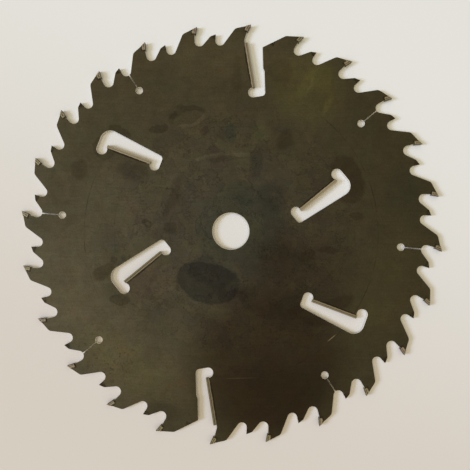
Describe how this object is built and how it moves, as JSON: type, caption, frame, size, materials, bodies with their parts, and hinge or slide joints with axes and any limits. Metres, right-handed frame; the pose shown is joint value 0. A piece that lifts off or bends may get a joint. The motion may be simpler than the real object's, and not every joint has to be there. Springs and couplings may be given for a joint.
{
  "type": "circular saw blade",
  "caption": "Flat circular rip saw blade with brazed carbide teeth, chip limiters, slit stop holes and carbide scraper strips in windows of its plate.",
  "frame": {"origin": "middle of the bore, halfway through the plate", "axes": "+Z is the bore's axis and points out of the face seen in the picture, +Y runs through the point of the first tooth, and +X is to its right; seen from +Z the teeth point clockwise"},
  "size_m": [0.35, 0.35, 0.0036],
  "materials": {
    "plate_steel": "rolled tool steel, darkened and stained by use",
    "tip_carbide": "ground tungsten carbide",
    "scraper_carbide": "ground tungsten carbide with solder at its back"
  },
  "bodies": {
    "root": {"saw_plate": "plate_steel", "carbide_tip_01": "tip_carbide", "carbide_tip_02": "tip_carbide", "carbide_tip_03": "tip_carbide", "carbide_tip_04": "tip_carbide", "carbide_tip_05": "tip_carbide", "carbide_tip_06": "tip_carbide", "carbide_tip_07": "tip_carbide", "carbide_tip_08": "tip_carbide", "carbide_tip_09": "tip_carbide", "carbide_tip_10": "tip_carbide", "carbide_tip_11": "tip_carbide", "carbide_tip_12": "tip_carbide", "carbide_tip_13": "tip_carbide", "carbide_tip_14": "tip_carbide", "carbide_tip_15": "tip_carbide", "carbide_tip_16": "tip_carbide", "carbide_tip_17": "tip_carbide", "carbide_tip_18": "tip_carbide", "carbide_tip_19": "tip_carbide", "carbide_tip_20": "tip_carbide", "carbide_tip_21": "tip_carbide", "carbide_tip_22": "tip_carbide", "carbide_tip_23": "tip_carbide", "carbide_tip_24": "tip_carbide", "outer_scraper_1": "scraper_carbide", "outer_scraper_2": "scraper_carbide", "middle_scraper_1": "scraper_carbide", "middle_scraper_2": "scraper_carbide", "inner_scraper_1": "scraper_carbide", "inner_scraper_2": "scraper_carbide"}
  },
  "joints": []
}
